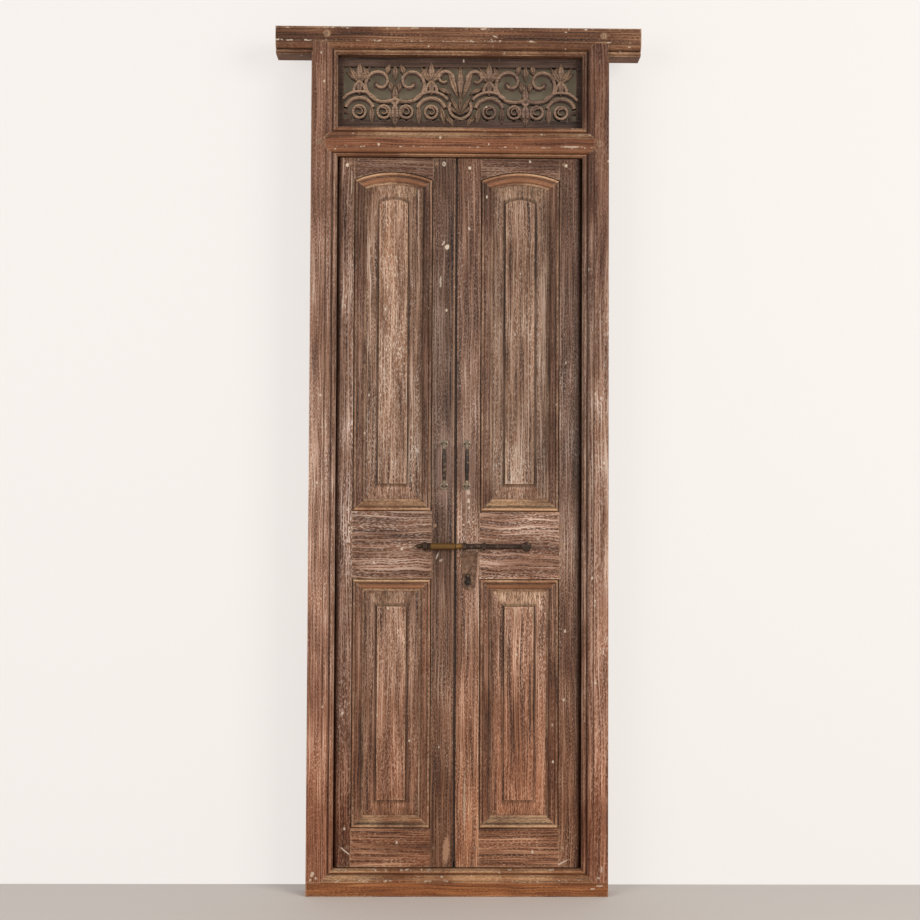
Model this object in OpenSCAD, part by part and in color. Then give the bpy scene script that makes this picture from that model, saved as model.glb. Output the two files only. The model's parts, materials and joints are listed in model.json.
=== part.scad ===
// Antique double door in its own frame: two panelled leaves on pivots, a carved and
// pierced panel above them, pull handles, a sliding bolt and a rim lock.
// The front faces -Y, +Z is up, and the origin is the middle of the sill's underside.
// Inside the modules y is the depth behind the frame's front face; placed() moves it.

/* [Frame] */
// Width over the two jambs
frame_w = 845; // [820:5:900]
// Height from the sill's underside to the top of the head
frame_h = 2450; // [2420:5:2520]
// Thickness of the frame, front to back
frame_d = 80; // [78:1:100]
// Flat face of each jamb
jamb_face = 40; // [36:1:46]
// Flat face of the head
head_face = 42; // [38:1:56]
// Flat face of the sill
sill_face = 39; // [36:1:50]
// Flat face of the transom rail
rail_face = 30; // [26:1:44]
// Width of the moulded edge around the openings
mould_w = 33; // [28:1:38]
// Width of the moulded lower edge of the transom rail
rail_drop = 20; // [16:1:30]
// How far the moulded edge falls back from the flat faces
mould_drop = 17; // [12:0.5:22]
// Clear height of the opening that the carved panel fills
light_clear = 208; // [190:1:230]
// Length of the head beyond the left jamb
horn_left = 103; // [60:1:140]
// Length of the head beyond the right jamb
horn_right = 92; // [60:1:140]
// Width of the stop behind the leaves
stop_w = 12; // [8:1:16]
// Diameter of the pegs in the frame joints
frame_peg_d = 16; // [10:0.5:20]

/* [Carved panel] */
// Thickness of the carved panel
carved_t = 20; // [14:0.5:26]
// Height of the plain strip along the top of the carving
carved_border = 26; // [18:1:34]
// Width of the carved stems
stem_w = 12; // [11:0.5:14]

/* [Leaves] */
// Thickness of a leaf
leaf_t = 34; // [30:1:36]
// How far the leaf's face lies behind the frame's front
leaf_recess = 28; // [24:1:32]
// Gap between a leaf and the jamb
side_gap = 2; // [1.5:0.1:4]
// Gap over and under a leaf
end_gap = 3; // [2:0.1:5]
// Gap between the two leaves
meet_gap = 2; // [1.5:0.1:4]
// Place of the meeting line, from the middle of the door
meet_x = -9; // [-30:1:30]
// Width of the left leaf's hanging stile
hang_left = 47; // [42:1:70]
// Width of the right leaf's hanging stile
hang_right = 62; // [42:1:70]
// Width of the left leaf's meeting stile
meet_left = 66; // [58:1:76]
// Width of the right leaf's meeting stile
meet_right = 68; // [64:1:76]
// Height of the bottom rails
bottom_rail_h = 108; // [90:1:140]
// Height of the lower panel openings
lower_panel_h = 701; // [640:1:740]
// Height of the lock rails
lock_rail_h = 190; // [170:1:220]
// Height of the top rails at their ends
top_rail_h = 62; // [56:1:80]
// Rise of the arch under the top rails
arch_rise = 23; // [12:1:34]
// Width of the planted mouldings
planted_w = 35; // [30:1:40]
// How far the planted mouldings stand proud of the leaf's face
planted_proud = 3.5; // [2:0.1:4]
// Sloped margin beside a panel's raised field
margin_x = 36; // [26:1:44]
// Sloped margin over and under a panel's raised field
margin_z = 43; // [30:1:54]
// Rise of the arch on top of an upper panel's raised field
field_rise = 12; // [8:1:16]
// Diameter of the pegs in the leaf joints
leaf_peg_d = 8; // [6:0.5:10]
// Diameter of the pivots
pivot_d = 14; // [10:0.5:16]

/* [Fittings] */
// Height of the middle of the pull handles over the lock rails
handle_up = 132; // [100:1:160]
// Length of a pull handle over its rosettes
handle_l = 142; // [120:1:160]
// Distance of the handles from the meeting edges
handle_in = 31; // [24:1:36]
// Stand-off of the handle's grip from the leaf
handle_out = 26; // [22:1:34]
// Height of the sliding bolt over the lower edge of the lock rails
bolt_up = 92; // [80:1:110]
// Diameter of the sliding bolt
bolt_d = 14; // [12:0.5:16]
// Length of the sliding bolt without its knob
bolt_l = 206; // [190:1:220]
// Travel of the sliding bolt
bolt_travel = 60; // [30:1:70]
// Length of the keeper tube
keeper_l = 92; // [84:1:100]
// Depth of the keyhole under the lower edge of the lock rails
keyhole_down = 6; // [0:1:14]
// Distance of the keyhole from the right leaf's meeting edge
keyhole_in = 35; // [30:1:38]
// Travel of the lock's bolt
lock_travel = 15; // [10:0.5:18]

/* [Hidden] */
$fn = 48;
// Named clearances
seat_gap = 0.6;
run_gap = 0.05;
slide_gap = 0.3;
// Small overlap that keeps cuts clean
eps = 1;

// Frame values
half_w = frame_w / 2;
clear_half = half_w - jamb_face - mould_w;
flat_half = half_w - jamb_face;
lip_half = clear_half - stop_w;
stop_d = leaf_recess + leaf_t + seat_gap;
sill_top = sill_face + mould_w;
head_flat_z = frame_h - head_face;
head_z = head_flat_z - mould_w;
rail_top = head_z - light_clear;
rail_flat_top = rail_top - mould_w;
rail_flat_z = rail_flat_top - rail_face;
rail_z = rail_flat_z - rail_drop;
tenon_t = 24;
tenon_y = (frame_d - tenon_t) / 2;
tenon_side = 6;
jamb_tenon_w = jamb_face + 12;
head_tenon_h = head_face - 10;
sill_tenon_h = sill_face - 12;
rail_tenon_l = jamb_face - 8;
horn_housing = 3;
housing_half = half_w - horn_housing;
head_peg_in = [43, 15];
head_peg_up = head_face / 2;
rail_peg_in = [24, 26];
frame_peg_proud = 0.6;
frame_peg_l = frame_d - 12;

// Moulded edge of the frame, in shares of its width
quirk_d = 2;
ovolo_start = 0.06;
ovolo_share = 0.5;
bead_mid = 0.77;
bead_half = 0.14;
bead_rise = 5;

// Leaf values
face_y = leaf_recess;
leaf_mid = face_y + leaf_t / 2;
hinge_edge = clear_half - side_gap;
pivot_in = leaf_t / 2;
leaf_z = sill_top + end_gap;
leaf_top = rail_z - end_gap;
lower_z = leaf_z + bottom_rail_h;
lock_z = lower_z + lower_panel_h;
upper_z = lock_z + lock_rail_h;
spring_z = leaf_top - top_rail_h;
groove_t = 10;
groove_in = 10;
tongue = 8;
leaf_tenon_l = 20;
leaf_tenon_t = 12;
leaf_tenon_cut = 8;
arch_foot = 2;
panel_drop = 12;
field_drop = 4;
field_step = 3;
field_rim = 1;
margin_foot = 0.25;
planted_floor = 9;
planted_quirk = 2.5;
planted_bead_r = 4;
planted_ovolo_in = 12;
planted_step = 1;
planted_lip = 0.5;
ovolo_end = 28;
leaf_peg_in = 10;
leaf_peg_deep = 26;
lock_peg_up = [98, lock_rail_h - 40];
top_peg_down = 16;
pivot_grip = 40;
pivot_reach = 20;
socket_wall = 4;
socket_h = 23;
collar_h = end_gap - slide_gap;

// Handle values
grip_r = 6.5;
neck_r = 4.6;
bend_r = 12;
rosette_r = 11;
rosette_t = 3;
rosette_dish = 0.7;
handle_z = upper_z + handle_up;
foot_z = handle_l / 2 - rosette_r;
grip_collar_r = 5.8;
grip_collar_l = 6;
handle_nail_in = 7.5;
nail_r = 1.2;
nail_head_r = 2.4;
nail_deep = 12;
nail_head_t = 1;

// Bolt values
bolt_lift = 5;
bolt_z = lock_z + bolt_up;
bolt_y = face_y - bolt_d / 2 - bolt_lift;
bolt_tip_in = slide_gap / 2 - meet_gap / 2;
bolt_chamfer = 1.5;
knob_in = 6;
knob_l = 24;
knob_r = 14;
knob_neck_r = 5;
knob_rim = [0.7, 0.85];
knob_face = 0.7;
staple_w = 9;
staple_t = 3;
staple_deep = 13;
staple_in = [25, 80];
keeper_wall = 1.6;
keeper_r = bolt_d / 2 + slide_gap + keeper_wall;
keeper_bore = bolt_travel + 8;
keeper_tip_l = 26;
keeper_neck = 0.6;
keeper_neck_l = 2;
keeper_bud = [0.75, 0.35];
keeper_foot_half = 0.7 * keeper_r;
keeper_foot_l = 10;
keeper_feet = [6, keeper_l - 14];
keeper_staple_in = 84;

// Lock values
keyhole_z = lock_z - keyhole_down;
plate_t = 2;
plate_r_top = 6;
plate_half_top = 24;
plate_r_low = 18;
plate_up = 84;
plate_down = 26;
plate_shift = -4;
plate_nail_x = [17, 10];
plate_nail_z = [76, -16];
plate_nails = [for (i = [0, 1], turn = [-1, 1])
    [plate_shift + turn * plate_nail_x[i], plate_nail_z[i]]];
key_r = 2.5;
key_slot_w = 2.6;
key_slot_l = 9;
cover_t = 2;
cover_gap = 0.4;
cover_pin_r = 2;
cover_pin_up = 15;
cover_eye_r = 6;
cover_r = 9.5;
cover_drop = 2;
cover_pin_head_r = 3.4;
case_in = 1;
case_l = 60;
case_h = 92;
case_t = 17;
case_wall = 3;
bolt_bar_t = 8;
bolt_bar_h = 24;
bolt_bar_l = 40;
case_z = keyhole_z - 36;
key_room = 9;
screw_edge = 7;
lock_bolt_z = keyhole_z + 13;
keeper_mid_z = lock_bolt_z + bolt_bar_h / 2;
box_l = 30;
box_h = 44;
screw_d = 5;
screw_head_d = 8;
screw_head_t = 1.2;
screw_deep = 10;
back_y = face_y + leaf_t;
bar_y = back_y + (case_t - bolt_bar_t) / 2;

// Colours
head_colour = "#4b3527";
jamb_colour = "#6a4836";
leaf_colour = "#6b5344";
panel_colour = "#705a48";
carve_colour = "#4f3f34";
peg_colour = "#80664f";
iron_colour = "#2f2a27";
brass_colour = "#7d6238";

leaf_parts = ["hanging_stile", "meeting_stile", "top_rail", "lock_rail", "bottom_rail",
    "upper_panel", "lower_panel",
    "upper_top_moulding", "upper_bottom_moulding", "upper_hanging_moulding", "upper_meeting_moulding",
    "lower_top_moulding", "lower_bottom_moulding", "lower_hanging_moulding", "lower_meeting_moulding",
    "leaf_pegs", "pivots", "pull_handle", "handle_nails"];

// Helpers
function side_of(side, pair) = side < 0 ? pair[0] : pair[1];
function leaf_w(side) = hinge_edge + side_of(side, [meet_x, -meet_x]) - meet_gap / 2;
function hang_w(side) = side_of(side, [hang_left, hang_right]);
function meet_w(side) = side_of(side, [meet_left, meet_right]);
function panel_x1(side) = leaf_w(side) - meet_w(side);
function panel_w(side) = panel_x1(side) - hang_w(side);
function panel_mid(side) = (panel_x1(side) + hang_w(side)) / 2;
function arch_r(side) = (pow(panel_w(side) / 2, 2) + pow(arch_rise, 2)) / (2 * arch_rise);
function arch_mid_z(side) = spring_z + arch_rise - arch_r(side);

// The frame's origin lies in the middle of its depth
module placed() {
    translate([0, -frame_d / 2, 0]) children();
}

// A leaf's own x runs from its hanging edge to the meeting line
module in_leaf(side) {
    if (side < 0) translate([-hinge_edge, -frame_d / 2, 0]) children();
    else translate([hinge_edge, -frame_d / 2, 0]) mirror([1, 0, 0]) children();
}

// An outline in x and z, extruded along y from y0 to y1
module along_y(y0, y1) {
    translate([0, y1, 0]) rotate([90, 0, 0]) linear_extrude(y1 - y0) children();
}

// A section in y and z, extruded along x from x0 to x1
module along_x(x0, x1) {
    translate([x0, 0, 0]) rotate([90, 0, 90]) linear_extrude(x1 - x0) children();
}

module box(x0, x1, y0, y1, z0, z1) {
    translate([x0, y0, z0]) cube([x1 - x0, y1 - y0, z1 - z0]);
}

module rod_y(x, z, r, y0, y1) {
    translate([x, y1, z]) rotate([90, 0, 0]) cylinder(r = r, h = y1 - y0);
}

// Frame sections: distance from the flat face's edge, and depth
function stuck_edge(w) = concat(
    [[0, 0]],
    [for (a = [0 : 15 : 90])
        [w * (ovolo_start + ovolo_share * sin(a)), quirk_d + (mould_drop - quirk_d) * (1 - cos(a))]],
    [for (a = [0 : 30 : 180]) [w * (bead_mid - bead_half * cos(a)), mould_drop - bead_rise * sin(a)]],
    [[w, mould_drop]]);
function member_section(face) = concat(
    [[0, 0]],
    [for (p = stuck_edge(mould_w)) [face + p[0], p[1]]],
    [[face + mould_w, stop_d], [face + mould_w + stop_w, stop_d],
     [face + mould_w + stop_w, frame_d], [0, frame_d]]);
function reversed(list) = [for (i = [len(list) - 1 : -1 : 0]) list[i]];

module jamb_outline() {
    polygon([[half_w, sill_face], [flat_half, sill_face], [clear_half, sill_top], [lip_half, sill_top],
        [lip_half, rail_z], [clear_half, rail_z], [flat_half, rail_flat_z], [flat_half, rail_flat_top],
        [clear_half, rail_top], [lip_half, rail_top], [lip_half, head_z], [clear_half, head_z],
        [flat_half, head_flat_z], [housing_half, head_flat_z], [housing_half, head_z], [half_w, head_z]]);
}

module jamb_tenons() {
    for (span = [[sill_face - sill_tenon_h, sill_top], [head_z, head_flat_z + head_tenon_h]])
        box(half_w - tenon_side - jamb_tenon_w, half_w - tenon_side,
            tenon_y, tenon_y + tenon_t, span[0], span[1]);
}

module rail_tenon() {
    box(flat_half - eps, flat_half + rail_tenon_l, tenon_y, tenon_y + tenon_t, rail_flat_z, rail_flat_top);
}

module jamb(side) {
    placed() color(jamb_colour) mirror([side < 0 ? 1 : 0, 0, 0]) difference() {
        union() {
            intersection() {
                along_y(-eps, frame_d + eps) jamb_outline();
                linear_extrude(frame_h) polygon([for (p = member_section(jamb_face)) [half_w - p[0], p[1]]]);
            }
            jamb_tenons();
        }
        rail_tenon();
        frame_peg(side_of(side, rail_peg_in), (rail_flat_z + rail_flat_top) / 2);
        head_peg(side);
    }
}

module frame_peg(peg_in, z) {
    rod_y(half_w - peg_in, z, frame_peg_d / 2, -frame_peg_proud, frame_peg_l);
}

module head_peg(side) {
    frame_peg(side_of(side, head_peg_in), head_flat_z + head_peg_up);
}

module frame_pegs() {
    placed() color(peg_colour) for (side = [-1, 1]) mirror([side < 0 ? 1 : 0, 0, 0]) {
        head_peg(side);
        frame_peg(side_of(side, rail_peg_in), (rail_flat_z + rail_flat_top) / 2);
    }
}

module head_beam() {
    placed() color(head_colour) difference() {
        intersection() {
            along_x(-half_w - horn_left, half_w + horn_right)
                polygon([for (p = member_section(head_face)) [p[1], frame_h - p[0]]]);
            along_y(-eps, frame_d + eps) polygon([
                [-half_w - horn_left, frame_h], [-half_w - horn_left, head_z],
                [-housing_half, head_z], [-housing_half, head_flat_z], [-flat_half, head_flat_z],
                [-clear_half, head_z], [-lip_half, head_z], [-lip_half, head_z - stop_w],
                [lip_half, head_z - stop_w], [lip_half, head_z], [clear_half, head_z],
                [flat_half, head_flat_z], [housing_half, head_flat_z], [housing_half, head_z],
                [half_w + horn_right, head_z], [half_w + horn_right, frame_h]]);
        }
        for (side = [-1, 1]) mirror([side < 0 ? 1 : 0, 0, 0]) {
            jamb_tenons();
            head_peg(side);
        }
        panel_nail_rods(nail_r);
    }
}

module transom_rail() {
    lower = [for (p = reversed(stuck_edge(rail_drop))) [p[1], rail_flat_z - p[0]]];
    upper = [for (p = stuck_edge(mould_w)) [p[1], rail_flat_top + p[0]]];
    placed() color(jamb_colour) difference() {
        union() {
            intersection() {
                along_x(-flat_half, flat_half) polygon(concat(
                    [[frame_d, rail_z - stop_w], [stop_d, rail_z - stop_w], [stop_d, rail_z]], lower, upper,
                    [[stop_d, rail_top], [stop_d, rail_top + stop_w], [frame_d, rail_top + stop_w]]));
                along_y(-eps, frame_d + eps) polygon([[-flat_half, rail_flat_z], [-clear_half, rail_z],
                    [-lip_half, rail_z], [-lip_half, rail_z - stop_w], [lip_half, rail_z - stop_w],
                    [lip_half, rail_z], [clear_half, rail_z], [flat_half, rail_flat_z],
                    [flat_half, rail_flat_top], [clear_half, rail_top], [lip_half, rail_top],
                    [lip_half, rail_top + stop_w], [-lip_half, rail_top + stop_w], [-lip_half, rail_top],
                    [-clear_half, rail_top], [-flat_half, rail_flat_top]]);
            }
            for (side = [-1, 1]) mirror([side < 0 ? 1 : 0, 0, 0]) rail_tenon();
        }
        for (side = [-1, 1]) mirror([side < 0 ? 1 : 0, 0, 0]) {
            frame_peg(side_of(side, rail_peg_in), (rail_flat_z + rail_flat_top) / 2);
            socket_seat(rail_z, rail_z + socket_h);
        }
    }
}

module sill() {
    placed() color(jamb_colour) difference() {
        intersection() {
            along_x(-half_w, half_w) polygon([for (p = member_section(sill_face)) [p[1], p[0]]]);
            along_y(-eps, frame_d + eps) polygon([[-half_w, 0], [half_w, 0], [half_w, sill_face],
                [flat_half, sill_face], [clear_half, sill_top], [lip_half, sill_top],
                [lip_half, sill_top + stop_w], [-lip_half, sill_top + stop_w], [-lip_half, sill_top],
                [-clear_half, sill_top], [-flat_half, sill_face], [-half_w, sill_face]]);
        }
        for (side = [-1, 1]) mirror([side < 0 ? 1 : 0, 0, 0]) {
            jamb_tenons();
            socket_seat(sill_top - socket_h, sill_top);
        }
    }
}

// Pivot sockets in rail and sill
module socket_seat(z0, z1) {
    translate([hinge_edge - pivot_in, leaf_mid, z0]) cylinder(r = pivot_d / 2 + socket_wall, h = z1 - z0);
}

module pivot_sockets() {
    placed() color(iron_colour) for (side = [-1, 1], z = [sill_top - socket_h, rail_z])
        mirror([side < 0 ? 1 : 0, 0, 0]) difference() {
            socket_seat(z, z + socket_h);
            translate([hinge_edge - pivot_in, leaf_mid, z - eps])
                cylinder(r = pivot_d / 2 + run_gap, h = socket_h + 2 * eps);
        }
}

// Carved panel: its own x runs from the middle, z from its lower edge. The carving is drawn
// on a pattern of fixed size that is stretched to the opening.
carve_w = 2 * clear_half - 2 * seat_gap;
carve_h = head_z - rail_top - 2 * seat_gap;
pattern_w = 697.8;
pattern_h = 206.8;
carve_top = pattern_h - carved_border;
carve_end = 15;
pair_x = 187;
scroll_z = pattern_h - 71;
ring_z = 50;
ring_r = 22;
ring_wall = 0.7 * stem_w;
ring_places = [83, 155, 219, 289];
end_ring = [pattern_w / 2 - 20, ring_z - 12, 18];
scallop_r = 13;
scallop_gap = 1.5;
panel_nail_x = [-0.47, -0.16, 0.16, 0.47] * carve_w;
leaf_foot_r = 2;
leaf_belly = 0.45;
leaf_tip_r = 0.8;
stem_step = 24;

// Stems: middle x and z, radius and angle at both ends, width at both ends in stem widths
pair_stems = [
    [43, scroll_z, [66, 12], [-137, 333], [1, 0.75]],
    [34, 46, [42, 40], [112, 196], [0.9, 0.9]]];
bud_stems = [
    [-20, scroll_z - 26, [36, 34], [0, 58], [0.9, 0.7]],
    [0, ring_z, [41, 40], [18, 94], [1, 0.9]],
    [0, ring_z + 4, [57, 54], [34, 94], [0.75, 0.7]]];
palm_stems = [
    [0, 66, [36, 30], [-92, 24], [0.8, 0.8]],
    [46, scroll_z + 12, [28, 10], [200, -130], [0.9, 0.6]]];
curl = [[13, 5], [60, 330], [0.4, 0.35]];

// Leaves: foot x and z, length, width, angle
pair_leaves = [[73, scroll_z + 8, 44, 20, 62], [27, scroll_z + 22, 36, 18, 112],
    [10, scroll_z - 26, 32, 18, 80], [6, 26, 58, 15, 62]];
pair_axis = [[0, 68, 66, 24, 90], [0, carve_top - 36, 42, 20, 90], [0, 8, 40, 22, 90]];
bud_leaves = [[0, scroll_z - 4, 58, 22, 58], [0, scroll_z + 2, 48, 16, 36]];
bud_axis = [[0, scroll_z - 36, 52, 24, 90], [0, scroll_z, 60, 26, 90]];
palm_leaves = [[0, 44, 66, 13, 32], [0, 44, 68, 13, 60], [8, 96, 84, 22, 70],
    [18, 16, 40, 15, 38], [28, 104, 46, 15, 24]];
palm_axis = [[0, 44, 66, 13, 90], [0, 92, carve_top - 84, 26, 90]];
row_leaves = [[46, 14, 60, 20, 80], [20, 10, 40, 16, 62]];
between_rings = [14, 62, 20, 90];
carved_eye = [54, scroll_z - 6, 0.75 * stem_w];

// Stem whose radius and width change along a spiral
module carved_stem(x, z, radii, angles, widths) {
    steps = ceil(abs(angles[1] - angles[0]) / stem_step);
    part = [for (i = [0 : steps]) i / steps];
    radius = [for (t = part) radii[0] * pow(radii[1] / radii[0], t)];
    half = [for (t = part) (widths[0] + (widths[1] - widths[0]) * t) * stem_w / 2];
    angle = [for (t = part) angles[0] + (angles[1] - angles[0]) * t];
    translate([x, z]) polygon(concat(
        [for (i = [0 : steps]) (radius[i] + half[i]) * [cos(angle[i]), sin(angle[i])]],
        [for (i = [steps : -1 : 0]) (radius[i] - half[i]) * [cos(angle[i]), sin(angle[i])]]));
}

// Pointed leaf from its foot along an angle
module carved_leaf(x, z, length, width, angle) {
    translate([x, z]) rotate(angle) hull() {
        circle(leaf_foot_r, $fn = 8);
        translate([length * leaf_belly, 0]) circle(width / 2, $fn = 12);
        translate([length - leaf_tip_r, 0]) circle(leaf_tip_r, $fn = 6);
    }
}

module carved_stems(table) {
    for (s = table) carved_stem(s[0], s[1], s[2], s[3], s[4]);
}

module carved_leaves(table) {
    for (l = table) carved_leaf(l[0], l[1], l[2], l[3], l[4]);
}

module carved_ring(x, z, r) {
    translate([x, z]) difference() {
        circle(r, $fn = 24);
        circle(r - ring_wall, $fn = 20);
    }
}

// The same work to the left and right of an axis, with leaves on the axis itself
module both_ways(stems, leaves, axis_leaves) {
    for (turn = [0, 1]) mirror([turn, 0]) {
        carved_stems(stems);
        carved_leaves(leaves);
    }
    carved_leaves(axis_leaves);
}

// Facing pair of scrolls
module scroll_pair() {
    both_ways(pair_stems, pair_leaves, pair_axis);
    for (turn = [0, 1]) mirror([turn, 0])
        translate([carved_eye[0], carved_eye[1]]) circle(carved_eye[2], $fn = 16);
}

// Lower row: rings with an inner curl, and leaves between them
module ring_row() {
    for (x = ring_places) {
        carved_ring(x, ring_z, ring_r);
        carved_stem(x, ring_z, curl[0], curl[1], curl[2]);
    }
    for (i = [0 : len(ring_places) - 2])
        carved_leaf((ring_places[i] + ring_places[i + 1]) / 2, between_rings[0], between_rings[1],
            between_rings[2], between_rings[3]);
    carved_ring(end_ring[0], end_ring[1], end_ring[2]);
    carved_leaves(row_leaves);
}

module scalloped_edge() {
    count = round(pattern_w / 4 / scallop_r);
    pitch = (pattern_w / 2 - carve_end) / count;
    for (i = [0 : count - 1]) translate([(i + 0.5) * pitch, scallop_r + scallop_gap])
        circle(scallop_r + scallop_gap, $fn = 20);
}

module carving() {
    for (turn = [0, 1]) mirror([turn, 0]) {
        translate([pair_x, 0]) scroll_pair();
        for (x = [ring_places[0], ring_places[3]])
            translate([x, 0]) both_ways(bud_stems, bud_leaves, bud_axis);
        ring_row();
        scalloped_edge();
        translate([pattern_w / 2 - carve_end, 0]) square([carve_end, pattern_h]);
    }
    both_ways(palm_stems, palm_leaves, palm_axis);
    translate([-pattern_w / 2, carve_top]) square([pattern_w, carved_border]);
}

module carved_panel() {
    placed() color(carve_colour) difference() {
        translate([0, 0, rail_top + seat_gap]) along_y(stop_d - carved_t, stop_d) intersection() {
            scale([carve_w / pattern_w, carve_h / pattern_h]) carving();
            translate([-carve_w / 2, 0]) square([carve_w, carve_h]);
        }
        panel_nail_rods(nail_r + run_gap);
    }
}

module panel_nail_rods(r) {
    translate([0, 0, rail_top + seat_gap]) for (x = panel_nail_x)
        rod_y(x, carve_h - stop_w / 2, r, stop_d - carved_t, stop_d + nail_deep);
}

module panel_nails() {
    placed() color(iron_colour) {
        panel_nail_rods(nail_r);
        translate([0, 0, rail_top + seat_gap]) for (x = panel_nail_x)
            rod_y(x, carve_h - stop_w / 2, nail_head_r, stop_d - carved_t - nail_head_t, stop_d - carved_t);
    }
}

// Leaf frame
module tenon(z0, z1, x_stile) {
    box(x_stile - eps, x_stile + leaf_tenon_l, leaf_mid - leaf_tenon_t / 2, leaf_mid + leaf_tenon_t / 2,
        z0 + leaf_tenon_cut, z1 - leaf_tenon_cut);
}

// The tenons of one leaf's three rails, at the hanging and the meeting end
module leaf_tenons(side) {
    for (span = [[leaf_z, lower_z], [lock_z, upper_z], [spring_z, leaf_top]]) {
        translate([hang_w(side), 0, 0]) mirror([1, 0, 0]) tenon(span[0], span[1], 0);
        tenon(span[0], span[1], panel_x1(side));
    }
}

function peg_heights() = [(leaf_z + lower_z) / 2, lock_z + lock_peg_up[0], lock_z + lock_peg_up[1],
    leaf_top - top_peg_down];

module leaf_peg_rods(side) {
    for (z = peg_heights(), x = [hang_w(side) - leaf_peg_in, panel_x1(side) + leaf_peg_in])
        rod_y(x, z, leaf_peg_d / 2, face_y - frame_peg_proud, face_y + leaf_peg_deep);
}

module leaf_pegs(side) {
    in_leaf(side) color(peg_colour) leaf_peg_rods(side);
}

module groove(x0, x1, z0, z1) {
    box(x0, x1, face_y + panel_drop, face_y + panel_drop + groove_t, z0, z1);
}

module hanging_stile(side) {
    x1 = hang_w(side);
    in_leaf(side) color(leaf_colour) difference() {
        union() {
            translate([pivot_in, leaf_mid, leaf_z]) cylinder(r = leaf_t / 2, h = leaf_top - leaf_z);
            box(pivot_in, x1, face_y, face_y + leaf_t, leaf_z, leaf_top);
        }
        groove(x1 - groove_in, x1 + eps, lower_z - groove_in, lock_z + groove_in);
        groove(x1 - groove_in, x1 + eps, upper_z - groove_in, spring_z + groove_in);
        leaf_tenons(side);
        leaf_peg_rods(side);
        pivot_rods();
    }
}

module meeting_stile(side) {
    x0 = panel_x1(side);
    in_leaf(side) color(leaf_colour) difference() {
        box(x0, leaf_w(side), face_y, face_y + leaf_t, leaf_z, leaf_top);
        groove(x0 - eps, x0 + groove_in, lower_z - groove_in, lock_z + groove_in);
        groove(x0 - eps, x0 + groove_in, upper_z - groove_in, spring_z + groove_in);
        leaf_tenons(side);
        leaf_peg_rods(side);
        handle_nail_rods(side);
        if (side < 0) {
            box_screw_rods();
        } else {
            bolt_staple(0);
            plate_nail_rods();
            case_screw_rods();
            keyhole(-eps, leaf_t + eps);
        }
    }
}

module rail_board(side, z0, z1) {
    box(hang_w(side), panel_x1(side), face_y, face_y + leaf_t, z0, z1);
    intersection() {
        leaf_tenons(side);
        box(0, leaf_w(side), face_y, face_y + leaf_t, z0, z1);
    }
}

module bottom_rail(side) {
    in_leaf(side) color(leaf_colour) difference() {
        rail_board(side, leaf_z, lower_z);
        groove(hang_w(side) - eps, panel_x1(side) + eps, lower_z - groove_in, lower_z + eps);
        leaf_peg_rods(side);
    }
}

module lock_rail(side) {
    in_leaf(side) color(leaf_colour) difference() {
        rail_board(side, lock_z, upper_z);
        for (span = [[lock_z - eps, lock_z + groove_in], [upper_z - groove_in, upper_z + eps]])
            groove(hang_w(side) - eps, panel_x1(side) + eps, span[0], span[1]);
        leaf_peg_rods(side);
        if (side < 0) {
            keeper_staple_band();
        } else {
            bolt_staple(1);
            plate_nail_rods();
        }
    }
}

// Everything under the arch, drawn in by an inset
module arch_disc(side, inset, y0, y1) {
    rod_y(panel_mid(side), arch_mid_z(side), arch_r(side) - inset, y0, y1);
}

module top_rail(side) {
    x0 = hang_w(side);
    x1 = panel_x1(side);
    in_leaf(side) color(leaf_colour) difference() {
        rail_board(side, spring_z - arch_foot, leaf_top);
        intersection() {
            arch_disc(side, 0, face_y - eps, face_y + leaf_t + eps);
            box(x0, x1, 0, frame_d, spring_z - groove_in, leaf_top);
        }
        intersection() {
            arch_disc(side, -groove_in, face_y + panel_drop, face_y + panel_drop + groove_t);
            box(x0 - groove_in, x1 + groove_in, 0, frame_d, spring_z - groove_in, leaf_top);
        }
        leaf_peg_rods(side);
    }
}

// All that lies under the arch, drawn in by an inset, as seen from the front
module under_arch(side, inset) {
    translate([panel_mid(side), arch_mid_z(side)]) circle(arch_r(side) - inset, $fn = 180);
    translate([hang_w(side) - groove_in, 0]) square([panel_w(side) + 2 * groove_in, arch_mid_z(side)]);
}

// Raised field of an upper panel: its arch is rounder than the panel's, about the same middle line
module arched_field(side, inset_x, inset_z) {
    half = panel_w(side) / 2 - inset_x;
    r = (pow(half, 2) + pow(field_rise, 2)) / (2 * field_rise);
    top = spring_z + arch_rise - inset_z;
    intersection() {
        translate([panel_mid(side) - half, upper_z + inset_z]) square([2 * half, top - upper_z - inset_z]);
        union() {
            translate([panel_mid(side), top - r]) circle(r, $fn = 180);
            translate([panel_mid(side) - half, upper_z]) square([2 * half, top - r - upper_z]);
        }
    }
}

// Outline of a panel: a rectangle drawn in by inset_x and inset_z, under the arch on the upper one
module panel_outline(side, z0, z1, inset_x, inset_z, arched) {
    intersection() {
        translate([hang_w(side) + inset_x, z0 + inset_z])
            square([panel_w(side) - 2 * inset_x, z1 - z0 - (arched ? 1 : 2) * inset_z]);
        if (arched) under_arch(side, inset_z);
    }
}

module field_outline(side, z0, z1, inset_x, inset_z, arched) {
    if (arched) arched_field(side, inset_x, inset_z);
    else panel_outline(side, z0, z1, inset_x, inset_z, false);
}

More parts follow.
